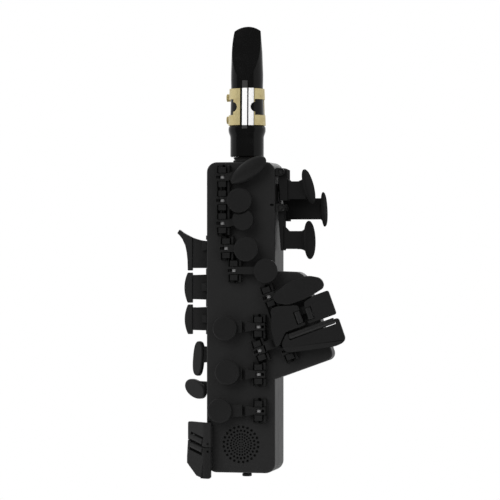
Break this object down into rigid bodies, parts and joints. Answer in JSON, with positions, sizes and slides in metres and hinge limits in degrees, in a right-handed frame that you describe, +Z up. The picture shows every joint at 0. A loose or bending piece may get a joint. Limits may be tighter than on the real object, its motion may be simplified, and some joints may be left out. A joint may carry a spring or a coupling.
{
  "type": "wind controller",
  "caption": "Straight electronic saxophone: a black box body with lever keys, palm, side and little-finger keys, a speaker grille and an alto mouthpiece with a gold ligature",
  "frame": {"origin": "middle of the strap ring's hole on the back of the case", "axes": "+Z up along the body towards the mouthpiece, -Y the front with the finger keys, +X to the right as the front is looked at"},
  "size_m": [0.1223, 0.0677, 0.3191],
  "materials": {
    "cover_plastic": "moulded black plastic with a fine satin grain",
    "key_plastic": "moulded dark grey plastic, satin",
    "side_plastic": "moulded dark grey plastic, a little lighter",
    "ebonite": "polished black hard rubber",
    "gold_brass": "pale gold lacquer over brass",
    "steel": "bright turned steel",
    "cork": "glued sheet cork",
    "cane": "cut cane with long fibres",
    "circuit_board": "green lacquered board",
    "cell_wrap": "grey shrink wrap",
    "speaker_plastic": "dark plastic frame"
  },
  "bodies": {
    "case": {"front_cover": "cover_plastic", "rear_cover": "cover_plastic", "neck_tenon": "steel", "tenon_cork": "cork", "left_stack_bracket": "cover_plastic", "left_stack_rod": "steel", "right_stack_bracket": "cover_plastic", "d_key_bracket": "cover_plastic", "f_key_rod": "steel", "e_key_rod": "steel", "d_key_rod": "steel", "table_bracket": "cover_plastic", "table_rod": "steel", "low_b_rod": "steel", "palm_bracket": "cover_plastic", "palm_rod": "steel", "side_bracket": "cover_plastic", "side_rod": "steel", "pinky_rod": "steel", "octave_bracket": "cover_plastic", "thumb_hook": "cover_plastic", "strap_ring": "steel", "main_board": "circuit_board", "battery": "cell_wrap", "speaker": "speaker_plastic", "breath_sensor": "speaker_plastic"},
    "mouthpiece": {"mouthpiece": "ebonite", "reed": "cane", "ligature": "gold_brass"},
    "front_f_key": {"front_f_key": "key_plastic"},
    "b_key": {"b_key": "key_plastic"},
    "bis_key": {"bis_key": "key_plastic"},
    "a_key": {"a_key": "key_plastic"},
    "g_key": {"g_key": "key_plastic"},
    "f_key": {"f_key": "key_plastic"},
    "e_key": {"e_key": "key_plastic"},
    "d_key": {"d_key": "key_plastic"},
    "g_sharp_key": {"g_sharp_key": "key_plastic"},
    "low_c_sharp_key": {"low_c_sharp_key": "key_plastic"},
    "low_b_key": {"low_b_key": "key_plastic"},
    "low_b_flat_key": {"low_b_flat_key": "key_plastic"},
    "palm_d_key": {"palm_d_key": "key_plastic"},
    "palm_e_flat_key": {"palm_e_flat_key": "key_plastic"},
    "palm_f_key": {"palm_f_key": "key_plastic"},
    "side_b_flat_key": {"side_b_flat_key": "side_plastic"},
    "side_c_key": {"side_c_key": "side_plastic"},
    "side_e_key": {"side_e_key": "side_plastic"},
    "e_flat_key": {"e_flat_key": "key_plastic"},
    "low_c_key": {"low_c_key": "key_plastic"},
    "octave_key": {"octave_key": "key_plastic"},
    "high_f_sharp_key": {"high_f_sharp_key": "side_plastic"},
    "alt_f_sharp_key": {"alt_f_sharp_key": "side_plastic"},
    "power_button": {"power_button": "key_plastic"},
    "c_sharp_roller": {"c_sharp_roller": "key_plastic"},
    "b_roller": {"b_roller": "key_plastic"},
    "b_flat_roller": {"b_flat_roller": "key_plastic"},
    "e_flat_roller": {"e_flat_roller": "key_plastic"},
    "low_c_roller": {"low_c_roller": "key_plastic"},
    "ligature_screw_upper": {"ligature_screw_upper": "gold_brass"},
    "ligature_screw_lower": {"ligature_screw_lower": "gold_brass"}
  },
  "joints": [
    {"name": "front_f_key_hinge", "type": "hinge", "parent": "case", "child": "front_f_key", "pos_m": [-0.0118, -0.0478, 0.0813], "axis": [0, 0, 1], "range_deg": [0, 6], "stiffness_Nm_per_rad": 0.05, "springref_deg": -6.88},
    {"name": "b_key_hinge", "type": "hinge", "parent": "case", "child": "b_key", "pos_m": [-0.0118, -0.0478, 0.065], "axis": [0, 0, 1], "range_deg": [0, 9], "stiffness_Nm_per_rad": 0.05, "springref_deg": -6.88},
    {"name": "bis_key_hinge", "type": "hinge", "parent": "case", "child": "bis_key", "pos_m": [-0.0118, -0.0478, 0.049], "axis": [0, 0, 1], "range_deg": [0, 7.5], "stiffness_Nm_per_rad": 0.05, "springref_deg": -6.88},
    {"name": "a_key_hinge", "type": "hinge", "parent": "case", "child": "a_key", "pos_m": [-0.0091, -0.0478, 0.0315], "axis": [0, 0, 1], "range_deg": [0, 7.8], "stiffness_Nm_per_rad": 0.05, "springref_deg": -6.88},
    {"name": "g_key_hinge", "type": "hinge", "parent": "case", "child": "g_key", "pos_m": [-0.0036, -0.0478, 0.016], "axis": [0, 0, 1], "range_deg": [0, 5], "stiffness_Nm_per_rad": 0.05, "springref_deg": -6.88},
    {"name": "f_key_hinge", "type": "hinge", "parent": "case", "child": "f_key", "pos_m": [0.0138, -0.0478, -0.0233], "axis": [0, 0, 1], "range_deg": [0, 5], "stiffness_Nm_per_rad": 0.05, "springref_deg": -6.88},
    {"name": "e_key_hinge", "type": "hinge", "parent": "case", "child": "e_key", "pos_m": [0.0139, -0.0478, -0.0564], "axis": [0, 0, 1], "range_deg": [0, 5.3], "stiffness_Nm_per_rad": 0.05, "springref_deg": -6.88},
    {"name": "d_key_hinge", "type": "hinge", "parent": "case", "child": "d_key", "pos_m": [0.014, -0.0478, -0.082], "axis": [0, 0, 1], "range_deg": [0, 4.2], "stiffness_Nm_per_rad": 0.05, "springref_deg": -6.88},
    {"name": "g_sharp_key_hinge", "type": "hinge", "parent": "case", "child": "g_sharp_key", "pos_m": [0.0213, -0.0478, -0.0023], "axis": [-0.342, 0, 0.9397], "range_deg": [0, 3.5], "stiffness_Nm_per_rad": 0.05, "springref_deg": -6.88},
    {"name": "low_c_sharp_key_hinge", "type": "hinge", "parent": "case", "child": "low_c_sharp_key", "pos_m": [0.02711, -0.0478, -0.01827], "axis": [-0.342, 0, 0.9397], "range_deg": [0, 3], "stiffness_Nm_per_rad": 0.05, "springref_deg": -6.88},
    {"name": "low_b_key_hinge", "type": "hinge", "parent": "case", "child": "low_b_key", "pos_m": [0.01477, -0.0478, -0.0399], "axis": [-0.342, 0, 0.9397], "range_deg": [0, 2], "stiffness_Nm_per_rad": 0.05, "springref_deg": -6.88},
    {"name": "low_b_flat_key_hinge", "type": "hinge", "parent": "case", "child": "low_b_flat_key", "pos_m": [0.03474, -0.0478, -0.03923], "axis": [-0.342, 0, 0.9397], "range_deg": [0, 3], "stiffness_Nm_per_rad": 0.05, "springref_deg": -6.88},
    {"name": "palm_d_key_hinge", "type": "hinge", "parent": "case", "child": "palm_d_key", "pos_m": [0.0284, -0.0347, 0.085], "axis": [0, 1, 0], "range_deg": [0, 8], "stiffness_Nm_per_rad": 0.05, "springref_deg": -6.88},
    {"name": "palm_e_flat_key_hinge", "type": "hinge", "parent": "case", "child": "palm_e_flat_key", "pos_m": [0.0284, -0.0201, 0.0746], "axis": [0, 1, 0], "range_deg": [0, 5], "stiffness_Nm_per_rad": 0.05, "springref_deg": -6.88},
    {"name": "palm_f_key_hinge", "type": "hinge", "parent": "case", "child": "palm_f_key", "pos_m": [0.0284, -0.0347, 0.06], "axis": [0, 1, 0], "range_deg": [0, 5.5], "stiffness_Nm_per_rad": 0.05, "springref_deg": -6.88},
    {"name": "side_b_flat_key_hinge", "type": "hinge", "parent": "case", "child": "side_b_flat_key", "pos_m": [-0.028, -0.0204, -0.01835], "axis": [0, 0, 1], "range_deg": [0, 7], "stiffness_Nm_per_rad": 0.05, "springref_deg": -6.88},
    {"name": "side_c_key_hinge", "type": "hinge", "parent": "case", "child": "side_c_key", "pos_m": [-0.028, -0.0204, 0.00405], "axis": [0, 0, 1], "range_deg": [0, 7], "stiffness_Nm_per_rad": 0.05, "springref_deg": -6.88},
    {"name": "side_e_key_hinge", "type": "hinge", "parent": "case", "child": "side_e_key", "pos_m": [-0.028, -0.0204, 0.0274], "axis": [0, 0, 1], "range_deg": [0, 7], "stiffness_Nm_per_rad": 0.05, "springref_deg": -6.88},
    {"name": "e_flat_key_hinge", "type": "hinge", "parent": "case", "child": "e_flat_key", "pos_m": [-0.0218, -0.0469, -0.104], "axis": [0, 0, -1], "range_deg": [0, 5], "stiffness_Nm_per_rad": 0.05, "springref_deg": -6.88},
    {"name": "low_c_key_hinge", "type": "hinge", "parent": "case", "child": "low_c_key", "pos_m": [-0.0218, -0.0469, -0.118], "axis": [0, 0, -1], "range_deg": [0, 5], "stiffness_Nm_per_rad": 0.05, "springref_deg": -6.88},
    {"name": "octave_key_hinge", "type": "hinge", "parent": "case", "child": "octave_key", "pos_m": [0, -0.004, 0.042], "axis": [1, 0, 0], "range_deg": [0, 6], "stiffness_Nm_per_rad": 0.05, "springref_deg": -6.88},
    {"name": "high_f_sharp_key_slide", "type": "slide", "parent": "case", "child": "high_f_sharp_key", "axis": [1, 0, 0], "range_m": [0, 0.002], "stiffness_N_per_m": 300, "springref_m": -0.002},
    {"name": "alt_f_sharp_key_slide", "type": "slide", "parent": "case", "child": "alt_f_sharp_key", "axis": [1, 0, 0], "range_m": [0, 0.002], "stiffness_N_per_m": 300, "springref_m": -0.002},
    {"name": "power_button_slide", "type": "slide", "parent": "case", "child": "power_button", "axis": [0, 0, 1], "range_m": [0, 0.001], "stiffness_N_per_m": 300, "springref_m": -0.002},
    {"name": "c_sharp_roller_spin", "type": "hinge", "parent": "low_c_sharp_key", "child": "c_sharp_roller", "pos_m": [0.05087, -0.0525, -0.01367], "axis": [-0.342, 0, 0.9397], "continuous": true},
    {"name": "b_roller_spin", "type": "hinge", "parent": "low_b_key", "child": "b_roller", "pos_m": [0.04317, -0.0525, -0.01648], "axis": [-0.342, 0, 0.9397], "continuous": true},
    {"name": "b_flat_roller_spin", "type": "hinge", "parent": "low_b_flat_key", "child": "b_flat_roller", "pos_m": [0.05241, -0.0525, -0.02418], "axis": [0.9397, 0, 0.342], "continuous": true},
    {"name": "e_flat_roller_spin", "type": "hinge", "parent": "e_flat_key", "child": "e_flat_roller", "pos_m": [-0.03081, -0.04433, -0.10285], "axis": [0.7549, -0.6113, -0.2378], "continuous": true},
    {"name": "low_c_roller_spin", "type": "hinge", "parent": "low_c_key", "child": "low_c_roller", "pos_m": [-0.03081, -0.04433, -0.10865], "axis": [0.7549, -0.6113, -0.2378], "continuous": true},
    {"name": "mouthpiece_slide", "type": "slide", "parent": "case", "child": "mouthpiece", "axis": [0, 0, 1], "range_m": [0, 0.018]},
    {"name": "ligature_screw_upper_turn", "type": "hinge", "parent": "mouthpiece", "child": "ligature_screw_upper", "pos_m": [0, -0.0063, 0.1393], "axis": [1, 0, 0], "range_deg": [-540, 540]},
    {"name": "ligature_screw_lower_turn", "type": "hinge", "parent": "mouthpiece", "child": "ligature_screw_lower", "pos_m": [0, -0.0063, 0.1233], "axis": [1, 0, 0], "range_deg": [-540, 540]}
  ]
}
